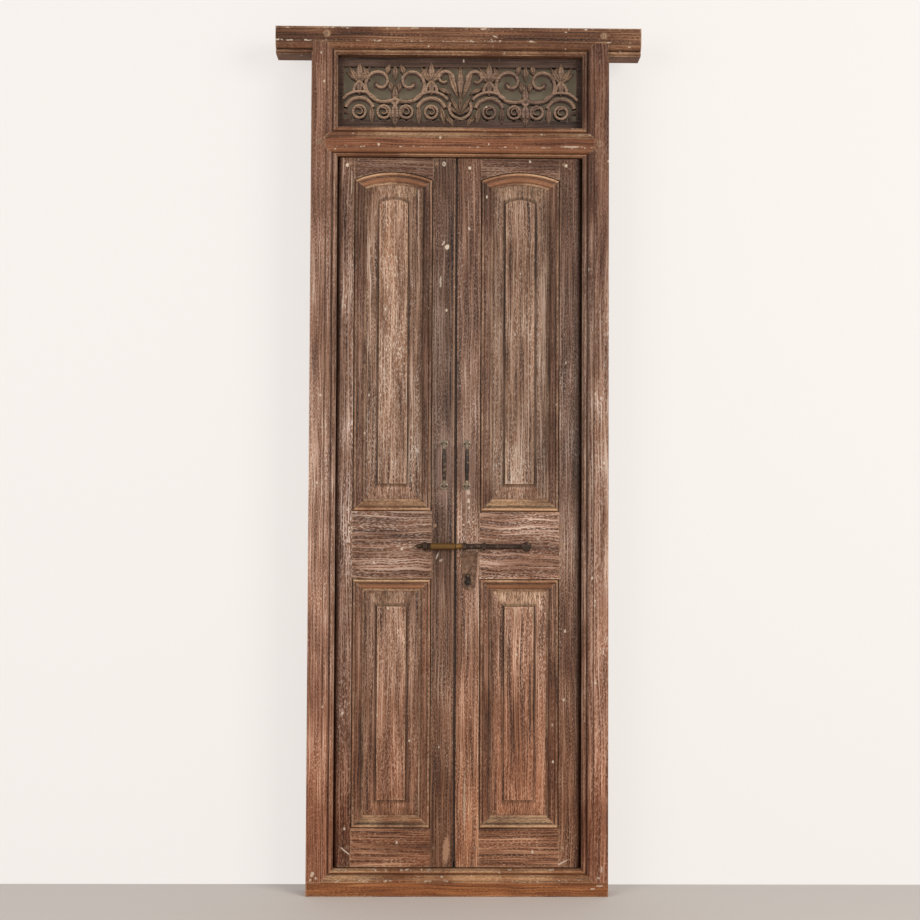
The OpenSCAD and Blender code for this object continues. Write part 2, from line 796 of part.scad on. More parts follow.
module fielded_panel(side, z0, z1, arched) {
    top = arched ? z1 + arch_rise + tongue : z1;
    bevel_y = face_y + field_drop + field_step;
    floor_y = face_y + panel_drop;
    field_x = planted_w + margin_x;
    field_z = planted_w + margin_z;
    color(panel_colour) {
        along_y(floor_y, floor_y + groove_t) panel_outline(side, z0, top, -tongue, -tongue, arched);
        hull() {
            along_y(floor_y - margin_foot, floor_y + groove_t / 2)
                panel_outline(side, z0, top, planted_w, planted_w, arched);
            along_y(bevel_y, bevel_y + field_rim) field_outline(side, z0, top, field_x, field_z, arched);
        }
        along_y(face_y + field_drop, bevel_y + field_rim / 2)
            field_outline(side, z0, top, field_x + field_rim, field_z + field_rim, arched);
    }
}

module upper_panel(side) {
    in_leaf(side) fielded_panel(side, upper_z, spring_z, true);
}

module lower_panel(side) {
    in_leaf(side) fielded_panel(side, lower_z, lock_z, false);
}

// Planted moulding: distance from its outer edge, and height over the leaf's face
function planted_section() = concat(
    [[0, -panel_drop], [0, -panel_drop / 2], [planted_quirk, -panel_drop / 2]],
    [for (a = [180 : -22.5 : 0]) [planted_quirk + planted_bead_r * (1 + cos(a)),
        planted_proud - planted_bead_r * (1 - sin(a))]],
    [[planted_ovolo_in - planted_lip / 2, planted_proud - planted_bead_r - planted_step]],
    [for (a = [0 : 15 : 90]) [planted_ovolo_in + (ovolo_end - planted_ovolo_in) * sin(a),
        planted_proud - planted_bead_r - (planted_floor - planted_step) * (1 - cos(a))]],
    [[ovolo_end, -planted_floor - planted_lip], [planted_w, -planted_floor - planted_step],
     [planted_w, -panel_drop]]);

// Height where the inner edge of the arched strip meets the upright ones
function inner_spring(side) = arch_mid_z(side)
    + sqrt(pow(arch_r(side) - planted_w, 2) - pow(panel_w(side) / 2 - planted_w, 2));

// Mitred outline of one of the four strips around an opening, as seen from the front
function strip_outline(x0, x1, z0, z1, inner, high, edge) =
    edge == "bottom"
        ? [[x0, z0], [x1, z0], [x1 - planted_w, z0 + planted_w], [x0 + planted_w, z0 + planted_w]]
    : edge == "top"
        ? concat([[x0, z1], [x0 + planted_w, inner], [x1 - planted_w, inner], [x1, z1]],
            high > z1 ? [[x1, high], [x0, high]] : [])
    : edge == "hanging"
        ? [[x0, z0], [x0 + planted_w, z0 + planted_w], [x0 + planted_w, inner], [x0, z1]]
    : [[x1, z0], [x1 - planted_w, z0 + planted_w], [x1 - planted_w, inner], [x1, z1]];

// The moulded bar that a strip is cut from
module strip_bar(side, z0, z1, arched, edge) {
    section = planted_section();
    x0 = hang_w(side);
    x1 = panel_x1(side);
    if (edge == "bottom") along_x(x0, x1) polygon([for (p = section) [face_y - p[1], z0 + p[0]]]);
    if (edge == "top" && !arched) along_x(x0, x1) polygon([for (p = section) [face_y - p[1], z1 - p[0]]]);
    if (edge == "top" && arched)
        translate([panel_mid(side), face_y, arch_mid_z(side)]) rotate([90, 0, 0])
            rotate_extrude($fn = 180) polygon([for (p = section) [arch_r(side) - p[0], p[1]]]);
    if (edge == "hanging") translate([x0, 0, z0])
        linear_extrude(rail_z) polygon([for (p = section) [p[0], face_y - p[1]]]);
    if (edge == "meeting") translate([x1, 0, z0])
        linear_extrude(rail_z) polygon([for (p = section) [-p[0], face_y - p[1]]]);
}

module planted_strip(side, z0, z1, arched, edge) {
    inner = arched ? inner_spring(side) : z1 - planted_w;
    high = z1 + (arched ? arch_rise + eps : 0);
    in_leaf(side) color(leaf_colour) intersection() {
        along_y(0, frame_d) polygon(strip_outline(hang_w(side), panel_x1(side), z0, z1, inner, high, edge));
        strip_bar(side, z0, z1, arched, edge);
    }
}

module upper_strip(side, edge) {
    planted_strip(side, upper_z, spring_z, true, edge);
}

module lower_strip(side, edge) {
    planted_strip(side, lower_z, lock_z, false, edge);
}

// Pivots in the hanging stile
module pivot_rods() {
    for (span = [[sill_top - pivot_reach, leaf_z + pivot_grip],
                 [leaf_top - pivot_grip, rail_z + pivot_reach]])
        translate([pivot_in, leaf_mid, span[0]]) cylinder(r = pivot_d / 2, h = span[1] - span[0]);
}

module pivots(side) {
    in_leaf(side) color(iron_colour) {
        pivot_rods();
        translate([pivot_in, leaf_mid, leaf_z - collar_h])
            cylinder(r = pivot_d / 2 + socket_wall, h = collar_h);
    }
}

// Pull handle: two rosettes, two bent necks and a turned grip, cast in one
module handle_end() {
    rotate([90, 0, 0]) rotate_extrude()
        polygon([[0, 0], [rosette_r, 0], [rosette_r, rosette_t / 3], [rosette_r * rosette_dish, rosette_t],
            [neck_r, rosette_t], [neck_r, handle_out - bend_r], [0, handle_out - bend_r]]);
    translate([0, bend_r - handle_out, -bend_r]) rotate([90, 0, -90])
        rotate_extrude(angle = 90) translate([bend_r, 0]) circle(neck_r);
}

module handle_grip(length) {
    bulge = [for (t = [0 : 0.1 : 1]) [neck_r + (grip_r - neck_r) * sin(180 * t), length * (t - 0.5)]];
    rotate_extrude() polygon(concat([[0, -length / 2]], bulge, [[0, length / 2]]));
}

module at_handle(side) {
    translate([leaf_w(side) - handle_in, face_y, handle_z]) children();
}

module pull_handle(side) {
    in_leaf(side) color(iron_colour) difference() {
        at_handle(side) {
            for (turn = [0, 1]) mirror([0, 0, turn]) {
                translate([0, 0, foot_z]) handle_end();
                translate([0, -handle_out, foot_z - bend_r])
                    cylinder(r = grip_collar_r, h = grip_collar_l, center = true);
            }
            translate([0, -handle_out, 0]) handle_grip(2 * (foot_z - bend_r));
        }
        handle_nail_rods(side);
    }
}

module handle_nail_rods(side) {
    at_handle(side) for (x = [-1, 1] * handle_nail_in, z = [-1, 1] * foot_z)
        rod_y(x, z, nail_r, -rosette_t, nail_deep);
}

module handle_nails(side) {
    in_leaf(side) color(iron_colour) {
        handle_nail_rods(side);
        at_handle(side) for (x = [-1, 1] * handle_nail_in, z = [-1, 1] * foot_z)
            rod_y(x, z, nail_head_r, -rosette_t - nail_head_t, -rosette_t);
    }
}

// Staple: an iron band bent over a round bar, its two legs driven into the wood
module staple(x, r) {
    along_x(x - staple_w / 2, x + staple_w / 2) difference() {
        union() {
            translate([bolt_y, bolt_z]) circle(r + staple_t);
            translate([bolt_y, bolt_z - r - staple_t])
                square([face_y + staple_deep - bolt_y, 2 * (r + staple_t)]);
        }
        translate([bolt_y, bolt_z]) circle(r);
        translate([bolt_y, bolt_z - r]) square([face_y + staple_deep - bolt_y + eps, 2 * r]);
    }
}

module bolt_staple(place) {
    staple(leaf_w(1) - staple_in[place], bolt_d / 2 + slide_gap);
}

module bolt_staples() {
    in_leaf(1) color(iron_colour) for (place = [0, 1]) bolt_staple(place);
}

module keeper_staple_band() {
    staple(leaf_w(-1) - keeper_staple_in, keeper_r);
}

module keeper_staple() {
    in_leaf(-1) color(iron_colour) keeper_staple_band();
}

// Sliding bolt: a round bar with a turned knob that faces forwards
module slide_bolt() {
    in_leaf(1) color(iron_colour) translate([leaf_w(1) - bolt_tip_in, bolt_y, bolt_z]) {
        rotate([0, -90, 0]) rotate_extrude()
            polygon([[0, 0], [bolt_d / 2 - bolt_chamfer, 0], [bolt_d / 2, bolt_chamfer],
                [bolt_d / 2, bolt_l - bolt_chamfer], [bolt_d / 2 - bolt_chamfer, bolt_l], [0, bolt_l]]);
        translate([knob_in - bolt_l, 0, 0]) rotate([90, 0, 0]) rotate_extrude()
            polygon([[0, 0], [knob_neck_r, 0], [knob_neck_r, knob_l / 2], [knob_r, knob_l * knob_rim[0]],
                [knob_r, knob_l * knob_rim[1]], [knob_r * knob_face, knob_l], [0, knob_l]]);
    }
}

// Keeper: a brass tube with a pointed closed end, on two feet
module bolt_keeper() {
    bore_r = bolt_d / 2 + slide_gap;
    in_leaf(-1) color(brass_colour) translate([leaf_w(-1) - bolt_tip_in, 0, 0]) difference() {
        union() {
            translate([0, bolt_y, bolt_z]) rotate([0, -90, 0]) rotate_extrude()
                polygon([[0, 0], [keeper_r, 0], [keeper_r, keeper_l],
                    [keeper_r * keeper_neck, keeper_l + keeper_neck_l],
                    [keeper_r * keeper_bud[0], keeper_l + keeper_tip_l * keeper_bud[1]],
                    [0, keeper_l + keeper_tip_l]]);
            for (x = keeper_feet) box(-x - keeper_foot_l, -x, bolt_y + bore_r + keeper_wall / 2, face_y,
                bolt_z - keeper_foot_half, bolt_z + keeper_foot_half);
        }
        translate([eps, bolt_y, bolt_z]) rotate([0, -90, 0]) cylinder(r = bore_r, h = keeper_bore + eps);
    }
}

// Lock plate on the front, with a keyhole and the pin of its swinging cover
module at_keyhole() {
    translate([leaf_w(1) - keyhole_in, face_y, keyhole_z]) children();
}

module keyhole(y0, y1) {
    at_keyhole() {
        rod_y(0, 0, key_r, y0, y1);
        box(-key_slot_w / 2, key_slot_w / 2, y0, y1, -key_slot_l, 0);
    }
}

module plate_nail_rods() {
    at_keyhole() for (p = plate_nails) rod_y(p[0], p[1], nail_r, -plate_t, nail_deep);
}

module escutcheon() {
    in_leaf(1) color(iron_colour) {
        difference() {
            at_keyhole() along_y(-plate_t, 0) hull() {
                for (x = [-1, 1] * (plate_half_top - plate_r_top))
                    translate([plate_shift + x, plate_up - plate_r_top]) circle(plate_r_top, $fn = 32);
                translate([plate_shift, plate_r_low - plate_down]) circle(plate_r_low, $fn = 32);
            }
            keyhole(-plate_t - eps, eps);
            plate_nail_rods();
        }
        at_keyhole() {
            rod_y(0, cover_pin_up, cover_pin_r, -plate_t - cover_gap - cover_t - cover_gap, -plate_t);
            rod_y(0, cover_pin_up, cover_pin_head_r, -plate_t - 2 * cover_gap - cover_t - nail_head_t,
                -plate_t - 2 * cover_gap - cover_t);
        }
    }
}

module escutcheon_nails() {
    in_leaf(1) color(iron_colour) {
        plate_nail_rods();
        at_keyhole() for (p = plate_nails) rod_y(p[0], p[1], nail_head_r, -plate_t - nail_head_t, -plate_t);
    }
}

module keyhole_cover() {
    y1 = -plate_t - cover_gap;
    in_leaf(1) color(iron_colour) at_keyhole() difference() {
        along_y(y1 - cover_t, y1) hull() {
            translate([0, cover_pin_up]) circle(cover_eye_r, $fn = 32);
            translate([0, -cover_drop]) circle(cover_r, $fn = 32);
        }
        rod_y(0, cover_pin_up, cover_pin_r + run_gap, y1 - cover_t - eps, y1 + eps);
    }
}

// Rim lock on the back of the right leaf
function case_screw_places() = [
    for (x = [screw_edge, case_l - screw_edge], z = [screw_edge, case_h - screw_edge])
    [leaf_w(1) - case_in - x, case_z + z]];

module case_screw_rods() {
    for (p = case_screw_places()) rod_y(p[0], p[1], screw_d / 2, back_y - screw_deep, back_y + case_t);
}

module lock_case() {
    x1 = leaf_w(1) - case_in;
    in_leaf(1) color(iron_colour) difference() {
        box(x1 - case_l, x1, back_y, back_y + case_t, case_z, case_z + case_h);
        box(x1 - case_l + case_wall, x1 + eps, bar_y - slide_gap, bar_y + bolt_bar_t + slide_gap,
            lock_bolt_z - slide_gap, lock_bolt_z + bolt_bar_h + slide_gap);
        keyhole(leaf_t - eps, leaf_t + case_t - case_wall);
        at_keyhole() box(-key_room, key_room, leaf_t + case_wall, leaf_t + case_t - case_wall,
            -key_room, key_room);
        case_screw_rods();
    }
}

module lock_case_screws() {
    in_leaf(1) color(iron_colour) {
        case_screw_rods();
        for (p = case_screw_places())
            rod_y(p[0], p[1], screw_head_d / 2, back_y + case_t, back_y + case_t + screw_head_t);
    }
}

module lock_bolt() {
    x1 = leaf_w(1) - case_in - slide_gap;
    in_leaf(1) color(brass_colour)
        box(x1 - bolt_bar_l, x1, bar_y, bar_y + bolt_bar_t, lock_bolt_z, lock_bolt_z + bolt_bar_h);
}

// Keeper of the rim lock on the back of the left leaf
function box_screw_places() = [for (z = [-1, 1])
    [leaf_w(-1) - case_in - box_l + screw_edge, keeper_mid_z + z * (box_h / 2 - screw_edge)]];

module box_screw_rods() {
    for (p = box_screw_places()) rod_y(p[0], p[1], screw_d / 2, back_y - screw_deep, back_y + case_t);
}

module lock_keeper() {
    x1 = leaf_w(-1) - case_in;
    in_leaf(-1) color(iron_colour) difference() {
        box(x1 - box_l, x1, back_y, back_y + case_t, keeper_mid_z - box_h / 2, keeper_mid_z + box_h / 2);
        box(x1 - lock_travel - eps, x1 + eps, bar_y - seat_gap, bar_y + bolt_bar_t + seat_gap,
            lock_bolt_z - seat_gap, lock_bolt_z + bolt_bar_h + seat_gap);
        box_screw_rods();
    }
}

module lock_keeper_screws() {
    in_leaf(-1) color(iron_colour) {
        box_screw_rods();
        for (p = box_screw_places())
            rod_y(p[0], p[1], screw_head_d / 2, back_y + case_t, back_y + case_t + screw_head_t);
    }
}

head_beam();
jamb(-1);  // left_jamb
jamb(1);  // right_jamb
transom_rail();
sill();
frame_pegs();
carved_panel();
panel_nails();
pivot_sockets();
hanging_stile(-1);  // left_hanging_stile
meeting_stile(-1);  // left_meeting_stile
top_rail(-1);  // left_top_rail
lock_rail(-1);  // left_lock_rail
bottom_rail(-1);  // left_bottom_rail
upper_panel(-1);  // left_upper_panel
lower_panel(-1);  // left_lower_panel
upper_strip(-1, "top");  // left_upper_top_moulding
upper_strip(-1, "bottom");  // left_upper_bottom_moulding
upper_strip(-1, "hanging");  // left_upper_hanging_moulding
upper_strip(-1, "meeting");  // left_upper_meeting_moulding
lower_strip(-1, "top");  // left_lower_top_moulding
lower_strip(-1, "bottom");  // left_lower_bottom_moulding
lower_strip(-1, "hanging");  // left_lower_hanging_moulding
lower_strip(-1, "meeting");  // left_lower_meeting_moulding
leaf_pegs(-1);  // left_leaf_pegs
pivots(-1);  // left_pivots
pull_handle(-1);  // left_pull_handle
handle_nails(-1);  // left_handle_nails
hanging_stile(1);  // right_hanging_stile
meeting_stile(1);  // right_meeting_stile
top_rail(1);  // right_top_rail
lock_rail(1);  // right_lock_rail
bottom_rail(1);  // right_bottom_rail
upper_panel(1);  // right_upper_panel
lower_panel(1);  // right_lower_panel
upper_strip(1, "top");  // right_upper_top_moulding
upper_strip(1, "bottom");  // right_upper_bottom_moulding
upper_strip(1, "hanging");  // right_upper_hanging_moulding
upper_strip(1, "meeting");  // right_upper_meeting_moulding
lower_strip(1, "top");  // right_lower_top_moulding
lower_strip(1, "bottom");  // right_lower_bottom_moulding
lower_strip(1, "hanging");  // right_lower_hanging_moulding
lower_strip(1, "meeting");  // right_lower_meeting_moulding
leaf_pegs(1);  // right_leaf_pegs
pivots(1);  // right_pivots
pull_handle(1);  // right_pull_handle
handle_nails(1);  // right_handle_nails
bolt_keeper();
keeper_staple();
lock_keeper();
lock_keeper_screws();
bolt_staples();
escutcheon();
escutcheon_nails();
lock_case();
lock_case_screws();
slide_bolt();
keyhole_cover();
lock_bolt();
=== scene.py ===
"""Antique double door in its frame: limed worn wood, iron and brass, a plain stage and the camera."""
import json
import math
import random

import bmesh
import bpy
from mathutils import Matrix, Vector


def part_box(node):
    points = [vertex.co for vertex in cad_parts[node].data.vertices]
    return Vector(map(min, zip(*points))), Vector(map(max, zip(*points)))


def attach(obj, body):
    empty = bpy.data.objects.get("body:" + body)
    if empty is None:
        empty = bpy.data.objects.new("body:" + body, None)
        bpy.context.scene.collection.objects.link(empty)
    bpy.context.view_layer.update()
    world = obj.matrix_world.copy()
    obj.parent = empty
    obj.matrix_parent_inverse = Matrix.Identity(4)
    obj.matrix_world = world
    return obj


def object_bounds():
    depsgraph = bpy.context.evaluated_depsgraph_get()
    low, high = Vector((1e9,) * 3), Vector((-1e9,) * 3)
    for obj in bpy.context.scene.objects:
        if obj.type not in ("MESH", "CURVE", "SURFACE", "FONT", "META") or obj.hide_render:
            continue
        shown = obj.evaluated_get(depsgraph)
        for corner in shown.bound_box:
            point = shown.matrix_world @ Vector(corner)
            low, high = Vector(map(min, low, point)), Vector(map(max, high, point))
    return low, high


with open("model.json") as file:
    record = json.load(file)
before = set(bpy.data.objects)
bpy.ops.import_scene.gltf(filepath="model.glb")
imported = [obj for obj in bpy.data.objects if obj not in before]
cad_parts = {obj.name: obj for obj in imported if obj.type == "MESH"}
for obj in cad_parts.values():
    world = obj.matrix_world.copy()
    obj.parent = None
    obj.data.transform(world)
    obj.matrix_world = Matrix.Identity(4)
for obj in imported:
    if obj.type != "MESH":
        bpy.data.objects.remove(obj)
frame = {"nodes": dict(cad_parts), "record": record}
cad_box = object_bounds()
nodes = frame["nodes"]
slot_of = {s["node"]: s["material_slot"] for s in frame["record"]["subparts"]}
draw = random.Random(11)
MM = 0.001


def shade(text):
    """Linear colour of a hex sRGB colour."""
    parts = [int(text[i:i + 2], 16) / 255 for i in (0, 2, 4)]
    return [p / 12.92 if p <= 0.04045 else ((p + 0.055) / 1.055) ** 2.4 for p in parts] + [1.0]


def dimmed(colour, share):
    """A linear colour at a share of its brightness."""
    return [c * share for c in colour[:3]] + [1.0]


# Material helpers
class Tree:
    """A material's node tree, with short calls for the nodes that the looks are made of."""

    def __init__(self, name):
        self.material = bpy.data.materials.new(name)
        self.material.use_nodes = True
        self.tree = self.material.node_tree
        self.shader = self.tree.nodes["Principled BSDF"]
        own = self.tree.nodes.new("ShaderNodeTexCoord").outputs
        self.coords = own["Object"]
        self.normal = own["Normal"]

    def add(self, kind, inputs=None, **settings):
        node = self.tree.nodes.new(kind)
        for key, value in settings.items():
            setattr(node, key, value)
        for key, value in (inputs or {}).items():
            self.put(node.inputs[key], value)
        return node

    def put(self, socket, value):
        if isinstance(value, bpy.types.NodeSocket):
            self.tree.links.new(value, socket)
        else:
            socket.default_value = value

    def mapped(self, scale, location, vector=None):
        return self.add("ShaderNodeMapping", {"Vector": vector or self.coords, "Scale": scale,
                                              "Location": location}).outputs[0]

    def swayed(self, amount, scale):
        """Coordinates that wander sideways, for grain that isn't straight."""
        sway = self.span(self.noise(self.coords, scale, 2.0), 0.0, 1.0, -amount, amount)
        aside = self.add("ShaderNodeCombineXYZ", {"X": sway, "Z": sway}).outputs[0]
        return self.add("ShaderNodeVectorMath", {0: self.coords, 1: aside}, operation="ADD").outputs[0]

    def noise(self, vector, scale, detail=4.0, roughness=0.55):
        node = self.add("ShaderNodeTexNoise", {"Vector": vector, "Scale": scale, "Detail": detail,
                                               "Roughness": roughness})
        return node.outputs["Fac"]

    def span(self, value, low, high, out_low=0.0, out_high=1.0):
        node = self.add("ShaderNodeMapRange", {"Value": value, "From Min": low, "From Max": high,
                                               "To Min": out_low, "To Max": out_high})
        return node.outputs["Result"]

    def math(self, operation, first, second=0.0):
        return self.add("ShaderNodeMath", {0: first, 1: second}, operation=operation).outputs[0]

    def times(self, *values):
        product = values[0]
        for value in values[1:]:
            product = self.math("MULTIPLY", product, value)
        return product

    def mix(self, factor, first, second, blend="MIX"):
        node = self.add("ShaderNodeMix", data_type="RGBA", blend_type=blend)
        self.put(node.inputs["Factor"], factor)
        self.put(node.inputs[6], first)
        self.put(node.inputs[7], second)
        return node.outputs[2]

    def bump(self, height, strength, distance):
        node = self.add("ShaderNodeBump", {"Height": height, "Strength": strength, "Distance": distance})
        self.put(self.shader.inputs["Normal"], node.outputs[0])

    def open_air(self, distance, samples=4):
        """1 on open faces, falling to 0 in corners and gaps."""
        return self.add("ShaderNodeAmbientOcclusion", {"Distance": distance}, samples=samples).outputs["AO"]

    def sharp_edge(self, distance, samples=3):
        """1 on outer edges, 0 on the faces between them."""
        inner = self.add("ShaderNodeAmbientOcclusion", {"Distance": distance}, samples=samples, inside=True,
                         only_local=True).outputs["AO"]
        return self.span(inner, 0.55, 0.9, 1.0, 0.0)


# Wood
# How far grain strays, in metres, and at what noise scale
WAVY = (0.01, 4.0)
CURLY = (0.016, 7.0)
# Texture scales along the grain, as shares of those across it
GRAIN_ALONG = 0.012
PORE_ALONG = 0.32
BAND_ALONG = 0.12
DOOR_H = cad_box[1][2] - cad_box[0][2]
TINT_PLACES = (0.1, 0.5, 0.86)
PLAIN = ((1, 1, 1), (1, 1, 1), (1, 1, 1))
MARK_DEEP = 8 * MM
MARK_RAGGED = 0.45
# Painted relief shade, in mm: how far behind the foot it ends, and half the width of the painted shadow line
RELIEF_BACK = 14
LINE_HALF = 1.0
LINE_SHADE = (0.3, 0.25, 0.21, 1)


def stretched(along, share):
    """Texture scale that draws a pattern out along the grain."""
    return (1.0, 1.0, share) if along == "z" else (share, 1.0, 1.0)


def tinted(t, colour, tints):
    """Multiplies a colour by tints at the foot, the middle and the top of the door."""
    height = t.span(t.add("ShaderNodeSeparateXYZ", {0: t.coords}).outputs["Z"], 0.0, DOOR_H)
    ramp = t.add("ShaderNodeValToRGB", {0: height})
    ramp.color_ramp.elements.new(0.5)
    for element, place, tint in zip(ramp.color_ramp.elements, TINT_PLACES, tints):
        element.position = place
        element.color = (*tint, 1)
    return t.mix(1.0, colour, ramp.outputs[0], "MULTIPLY")


def in_relief(t, colour, depth, patchy):
    """Paints shade on what lies deep, rubs what stands high and draws a painted shadow line between them.
    Its depth holds front and foot in mm, the foot's share of light, the front's share of wear and the line in mm."""
    high, low, dark, rubbed, line = depth
    y = t.add("ShaderNodeSeparateXYZ", {0: t.coords}).outputs["Y"]
    # Painted shade: darker towards the foot of the relief.
    painted_deep_shade = t.math("MAXIMUM", t.span(y, high * MM, low * MM, 1.0, dark),
                  t.span(y, (low + 0.7 * RELIEF_BACK) * MM, (low + RELIEF_BACK) * MM, dark, 1.0))
    colour = t.mix(1.0, colour, painted_deep_shade, "MULTIPLY")
    # Painted shadow line at the quirk's depth.
    away = t.math("ABSOLUTE", t.math("SUBTRACT", y, line * MM))
    painted_shadow_line = t.times(t.span(away, 0.4 * LINE_HALF * MM, LINE_HALF * MM, 1.0, 0.0), t.span(patchy, 0.1, 0.7, 0.6, 1.0))
    colour = t.mix(painted_shadow_line, colour, LINE_SHADE, "MULTIPLY")
    top = t.span(y, (high + 0.4) * MM, (high + 2.2) * MM, rubbed, 0.0)
    return t.mix(t.times(top, patchy), colour, shade(WORN))


def marked(t, colour, marks, front):
    """Chips, scratches, rubbed patches and painted shade on a front face: x, z, half width, half height, turn, tone
    and strength of each.
    """
    ragged_by = t.span(t.noise(t.coords, 240.0, 3.0), 0.2, 0.8, -MARK_RAGGED, MARK_RAGGED)
    for x, z, half_w, half_h, turn, tone, strength in marks:
        local = t.add("ShaderNodeMapping", {
            "Vector": t.coords, "Location": (x * MM, front, z * MM), "Rotation": (0, math.radians(turn), 0),
            "Scale": (half_w * MM, MARK_DEEP, half_h * MM)}, vector_type="TEXTURE").outputs[0]
        distance = t.add("ShaderNodeVectorMath", {0: local}, operation="LENGTH").outputs["Value"]
        ragged = t.math("ADD", distance, ragged_by)
        colour = t.mix(t.span(ragged, 0.7, 1.0, strength, 0.0), colour, shade(tone))
    return colour


def dust_and_facing_light(t, colour, patchy, underside_light):
    """Pale dust and painted light on what faces up, painted light in a warm orange on what faces down."""
    facing = t.add("ShaderNodeSeparateXYZ", {0: t.normal}).outputs["Z"]
    # Painted light: what faces down is lit up in a warm orange.
    painted_underside_light = t.times(t.span(facing, -0.2, -0.03, underside_light, 0.0), t.span(patchy, 0.0, 0.8, 0.55, 1.0))
    colour = t.mix(painted_underside_light, colour, shade(UNDERSIDE_LIGHT_TONE))
    return t.mix(t.times(t.span(facing, 0.03, 0.2, 0.0, 0.5), patchy), colour, shade(DUST_AND_TOP_LIGHT))


def chipped(t, colour, levels):
    """Pale broken wood along arrises that lie at these heights in mm."""
    broken = t.span(t.noise(t.mapped((1, 0.3, 1), (0, 0, 0)), 55.0, 7.0, 0.7), 0.56, 0.64)
    place = t.add("ShaderNodeSeparateXYZ", {0: t.coords}).outputs
    broken = t.times(broken, t.span(place["Y"], -MARK_DEEP, 0.0, 1.0, 0.0))
    wander = t.span(t.noise(t.coords, 130.0, 3.0), 0.3, 0.7, -2 * MM, 2 * MM)
    for level in levels:
        away = t.math("ABSOLUTE", t.math("ADD", t.math("SUBTRACT", place["Z"], level * MM), wander))
        colour = t.mix(t.times(t.span(away, 1.2 * MM, 3 * MM, 0.75, 0.0), broken), colour, shade(CHIP))
    return colour


def specked(t, colour, place):
    """Small pale chips, strewn thinly."""
    cell = t.add("ShaderNodeTexVoronoi", {"Vector": t.mapped((1, 1, 0.7), place), "Scale": 24.0}).outputs
    chosen = t.span(t.add("ShaderNodeSeparateColor", {0: cell["Color"]}).outputs[0], 0.35, 0.36)
    size = t.math("ADD", cell["Distance"], t.span(t.noise(t.coords, 300.0, 2.0), 0.3, 0.7, -0.03, 0.03))
    return t.mix(t.times(t.span(size, 0.05, 0.085, 0.75, 0.0), chosen), colour, shade(CHIP))


def wood(name, tones, along="z", lime=0.5, tints=PLAIN, depth=None, dirt_and_corner_shade=0.4, reach=0.01, edge=0.35, marks=(),
         chips=(), sway=WAVY, underside_light=0.5):
    """Open-grained limed teak: dark, middle and pale tones, worn edges, dirt and painted shade in the corners."""
    t = Tree(name)
    dark, middle, pale = (shade(c) for c in tones)
    place = [draw.uniform(-9, 9) for _ in range(3)]
    grown = t.swayed(*sway)
    streak = t.noise(t.mapped(stretched(along, GRAIN_ALONG), place, grown), 330.0, 4.0, 0.58)
    pores = t.noise(t.mapped(stretched(along, PORE_ALONG), place, grown), 430.0, 2.0, 0.55)
    band = t.noise(t.mapped(stretched(along, BAND_ALONG), place, grown), 26.0, 4.0, 0.6)
    cloud = t.noise(t.mapped((1, 1, 1), place), 6.0, 4.0)
    body = t.math("ADD", t.times(streak, 0.62), t.math("ADD", t.times(band, 0.23), t.times(pores, 0.15)))
    colour = t.mix(t.span(body, 0.39, 0.585), dark, middle)
    patch = t.times(t.span(band, 0.34, 0.6, 0.25, 1.0), t.span(cloud, 0.3, 0.65, 0.35, 1.0))
    limed = t.math("MAXIMUM", t.span(pores, 0.48, 0.72, 0.0, 0.8), t.span(streak, 0.53, 0.66, 0.0, 0.8))
    colour = t.mix(t.times(limed, patch, lime), colour, pale)
    colour = t.mix(1.0, colour, t.span(band, 0.3, 0.7, 0.84, 1.1), "MULTIPLY")
    # Own tone and painted light: each piece made lighter or darker as a whole.
    light = TONE_AND_PAINTED_LIGHT.get(name, 1.0)
    colour = t.mix(1.0, colour, t.span(cloud, 0.3, 0.7, 0.88 * light, 1.1 * light), "MULTIPLY")
    colour = tinted(t, colour, tints)
    patchy = t.times(t.span(cloud, 0.4, 0.58, 0.15, 1.0), t.span(pores, 0.38, 0.56, 0.35, 1.0))
    if depth:
        colour = in_relief(t, colour, depth, patchy)
    colour = t.mix(t.times(t.sharp_edge(0.005), patchy, edge), colour, shade(WORN))
    colour = chipped(t, specked(t, dust_and_facing_light(t, colour, patchy, underside_light), place), chips)
    if marks:
        colour = marked(t, colour, marks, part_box(name)[0].y)
    # Dirt and painted shade: darker where open_air finds corners and gaps within reach.
    dirty_and_shaded = t.mix(dirt_and_corner_shade, colour, dimmed(dark, 0.35))
    colour = t.mix(t.span(t.open_air(reach), 0.3, 0.85), dirty_and_shaded, colour)
    t.put(t.shader.inputs["Base Color"], colour)
    t.put(t.shader.inputs["Roughness"], t.span(streak, 0.3, 0.7, 0.58, 0.8))
    t.put(t.shader.inputs["Specular IOR Level"], 0.3)
    t.bump(t.math("ADD", streak, t.times(pores, 0.7)), 0.45, 0.0009)
    return t.material


def metal(name, base, worn, rough, amount, edge=0.6, part=None):
    """Old cast metal: a dark skin, worn to a paler tone in patches and on its edges.
    A part of it has a tone of its own: axis, middle, and the distances in mm where it starts and is full."""
    t = Tree(name)
    cloud = t.noise(t.coords, 70.0, 6.0, 0.65)
    pits = t.noise(t.coords, 420.0, 3.0)
    skin = t.math("MAXIMUM", t.span(cloud, 0.62 - amount, 0.72), t.times(t.sharp_edge(0.003), edge))
    colour = t.mix(skin, shade(base), shade(worn))
    if part:
        axis, middle, start, full, tone = part
        away = t.add("ShaderNodeSeparateXYZ", {0: t.coords}).outputs[axis]
        away = t.math("ABSOLUTE", t.math("SUBTRACT", away, middle * MM))
        own = t.mix(t.span(cloud, 0.35, 0.65), dimmed(shade(tone), 0.5), shade(tone))
        colour = t.mix(t.span(away, start * MM, full * MM), colour, own)
    # Painted shade: darker in its corners and gaps.
    colour = t.mix(t.span(t.open_air(0.006), 0.3, 0.85), dimmed(shade(base), 0.25), colour)
    t.put(t.shader.inputs["Base Color"], colour)
    t.put(t.shader.inputs["Metallic"], 0.45)
    t.put(t.shader.inputs["Roughness"], t.span(cloud, 0.3, 0.7, rough, rough + 0.2))
    t.bump(pits, 0.35, 0.0006)
    return t.material


